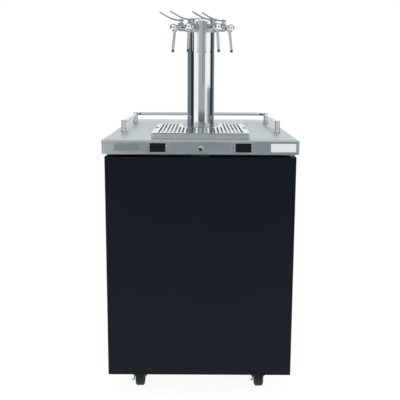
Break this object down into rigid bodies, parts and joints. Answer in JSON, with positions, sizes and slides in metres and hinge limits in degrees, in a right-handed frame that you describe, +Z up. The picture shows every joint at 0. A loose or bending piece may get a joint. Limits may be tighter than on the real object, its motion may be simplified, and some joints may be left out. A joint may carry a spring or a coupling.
{
  "type": "draft wine dispenser",
  "caption": "Refrigerated two-zone draft wine cabinet on casters with a hinged door, drip tray, guard rail and a column with lever taps.",
  "frame": {"origin": "on the floor under the middle of the bounding box", "axes": "+X to the right of someone who faces the door, +Y to the back, +Z up"},
  "size_m": [0.603, 0.7933, 1.2549],
  "materials": {
    "satin_steel": "satin brushed stainless sheet",
    "polished_steel": "mirror polished stainless",
    "zinc_steel": "bright zinc plate",
    "black_enamel": "fine textured powder coat",
    "black_plastic": "moulded, fine texture",
    "wheel_rubber": "moulded tread",
    "gasket_rubber": "extruded seal",
    "pale_liner": "thermoformed, light satin",
    "dark_window": "smoked gloss",
    "line_foam": "closed-cell foam",
    "bare_aluminium": "mill finish fins"
  },
  "bodies": {
    "cabinet": {"counter_top": "satin_steel", "front_header": "black_enamel", "base_plate": "black_enamel", "side_panel_left": "black_enamel", "side_panel_right": "black_enamel", "rear_panel": "black_enamel", "power_inlet": "black_plastic", "insulated_lining": "pale_liner", "zone_divider": "pale_liner", "evaporator_left": "pale_liner", "evaporator_right": "pale_liner", "compressor": "black_enamel", "condenser": "bare_aluminium", "fan_frame": "zinc_steel", "upper_hinge_bracket": "zinc_steel", "lower_hinge_bracket": "zinc_steel", "lock_housing": "polished_steel", "controller_left": "satin_steel", "controller_right": "satin_steel", "display_left": "dark_window", "display_right": "dark_window", "drip_tray_pan": "satin_steel", "guard_rail": "satin_steel", "tower_flange": "polished_steel", "tower_column": "polished_steel", "tower_cap": "polished_steel", "wine_line_bundle": "line_foam", "tap_1_body": "polished_steel", "tap_1_spout": "polished_steel", "tap_2_body": "polished_steel", "tap_2_spout": "polished_steel", "tap_3_body": "polished_steel", "tap_3_spout": "polished_steel", "tap_4_body": "polished_steel", "tap_4_spout": "polished_steel"},
    "fan": {"fan_blades": "black_plastic"},
    "door": {"door_skin": "black_enamel", "door_liner": "pale_liner", "door_gasket": "gasket_rubber", "door_strike": "zinc_steel"},
    "lock": {"lock_cylinder": "zinc_steel"},
    "grille": {"drip_tray_grille": "satin_steel"},
    "lever_1": {"tap_1_lever": "polished_steel"},
    "stem_1": {"tap_1_stem": "polished_steel"},
    "lever_2": {"tap_2_lever": "polished_steel"},
    "stem_2": {"tap_2_stem": "polished_steel"},
    "lever_3": {"tap_3_lever": "polished_steel"},
    "stem_3": {"tap_3_stem": "polished_steel"},
    "lever_4": {"tap_4_lever": "polished_steel"},
    "stem_4": {"tap_4_stem": "polished_steel"},
    "front_left_fork": {"caster_front_left_fork": "black_enamel"},
    "front_left_wheel": {"caster_front_left_wheel": "wheel_rubber"},
    "front_left_brake": {"caster_front_left_brake": "zinc_steel"},
    "front_right_fork": {"caster_front_right_fork": "black_enamel"},
    "front_right_wheel": {"caster_front_right_wheel": "wheel_rubber"},
    "front_right_brake": {"caster_front_right_brake": "zinc_steel"},
    "rear_left_fork": {"caster_rear_left_fork": "black_enamel"},
    "rear_left_wheel": {"caster_rear_left_wheel": "wheel_rubber"},
    "rear_right_fork": {"caster_rear_right_fork": "black_enamel"},
    "rear_right_wheel": {"caster_rear_right_wheel": "wheel_rubber"}
  },
  "joints": [
    {"name": "door_hinge", "type": "hinge", "parent": "cabinet", "child": "door", "pos_m": [0.281, -0.36, 0.442], "axis": [0, 0, 1], "range_deg": [0, 110]},
    {"name": "lock_turn", "type": "hinge", "parent": "cabinet", "child": "lock", "pos_m": [0, -0.385, 0.8235], "axis": [0, 1, 0], "range_deg": [0, 90]},
    {"name": "grille_lift", "type": "slide", "parent": "cabinet", "child": "grille", "axis": [0, 0, 1], "range_m": [0, 0.12]},
    {"name": "fan_spin", "type": "hinge", "parent": "cabinet", "child": "fan", "pos_m": [0.135, 0.318, 0.1903], "axis": [0, 1, 0], "continuous": true},
    {"name": "lever_1_lift", "type": "hinge", "parent": "cabinet", "child": "lever_1", "pos_m": [-0.06784, -0.14739, 1.227], "axis": [0, 1, 0], "range_deg": [0, 30]},
    {"name": "stem_1_press", "type": "slide", "parent": "cabinet", "child": "stem_1", "axis": [0, 0, -1], "range_m": [0, 0.0023]},
    {"name": "lever_2_lift", "type": "hinge", "parent": "cabinet", "child": "lever_2", "pos_m": [-0.03061, -0.17891, 1.227], "axis": [0, 1, 0], "range_deg": [0, 30]},
    {"name": "stem_2_press", "type": "slide", "parent": "cabinet", "child": "stem_2", "axis": [0, 0, -1], "range_m": [0, 0.0023]},
    {"name": "lever_3_lift", "type": "hinge", "parent": "cabinet", "child": "lever_3", "pos_m": [0.0418, -0.17321, 1.227], "axis": [0, 1, 0], "range_deg": [0, 30]},
    {"name": "stem_3_press", "type": "slide", "parent": "cabinet", "child": "stem_3", "axis": [0, 0, -1], "range_m": [0, 0.0023]},
    {"name": "lever_4_lift", "type": "hinge", "parent": "cabinet", "child": "lever_4", "pos_m": [0.07417, -0.13497, 1.227], "axis": [0, 1, 0], "range_deg": [0, 30]},
    {"name": "stem_4_press", "type": "slide", "parent": "cabinet", "child": "stem_4", "axis": [0, 0, -1], "range_m": [0, 0.0023]},
    {"name": "front_left_swivel", "type": "hinge", "parent": "cabinet", "child": "front_left_fork", "pos_m": [-0.2, -0.264, 0.0837], "axis": [0, 0, 1], "continuous": true},
    {"name": "front_left_roll", "type": "hinge", "parent": "front_left_fork", "child": "front_left_wheel", "pos_m": [-0.2, -0.288, 0.038], "axis": [1, 0, 0], "continuous": true},
    {"name": "front_left_brake_press", "type": "hinge", "parent": "front_left_fork", "child": "front_left_brake", "pos_m": [-0.2, -0.288, 0.038], "axis": [1, 0, 0], "range_deg": [0, 25]},
    {"name": "front_right_swivel", "type": "hinge", "parent": "cabinet", "child": "front_right_fork", "pos_m": [0.2, -0.264, 0.0837], "axis": [0, 0, 1], "continuous": true},
    {"name": "front_right_roll", "type": "hinge", "parent": "front_right_fork", "child": "front_right_wheel", "pos_m": [0.2, -0.288, 0.038], "axis": [1, 0, 0], "continuous": true},
    {"name": "front_right_brake_press", "type": "hinge", "parent": "front_right_fork", "child": "front_right_brake", "pos_m": [0.2, -0.288, 0.038], "axis": [1, 0, 0], "range_deg": [0, 25]},
    {"name": "rear_left_swivel", "type": "hinge", "parent": "cabinet", "child": "rear_left_fork", "pos_m": [-0.2, 0.305, 0.0837], "axis": [0, 0, 1], "continuous": true},
    {"name": "rear_left_roll", "type": "hinge", "parent": "rear_left_fork", "child": "rear_left_wheel", "pos_m": [-0.2, 0.281, 0.038], "axis": [1, 0, 0], "continuous": true},
    {"name": "rear_right_swivel", "type": "hinge", "parent": "cabinet", "child": "rear_right_fork", "pos_m": [0.2, 0.305, 0.0837], "axis": [0, 0, 1], "continuous": true},
    {"name": "rear_right_roll", "type": "hinge", "parent": "rear_right_fork", "child": "rear_right_wheel", "pos_m": [0.2, 0.281, 0.038], "axis": [1, 0, 0], "continuous": true}
  ],
  "couplings": [
    {"joint": "stem_1_press", "follows": "lever_1_lift", "m_per_rad": 0.00439},
    {"joint": "stem_2_press", "follows": "lever_2_lift", "m_per_rad": 0.00439},
    {"joint": "stem_3_press", "follows": "lever_3_lift", "m_per_rad": 0.00439},
    {"joint": "stem_4_press", "follows": "lever_4_lift", "m_per_rad": 0.00439}
  ]
}
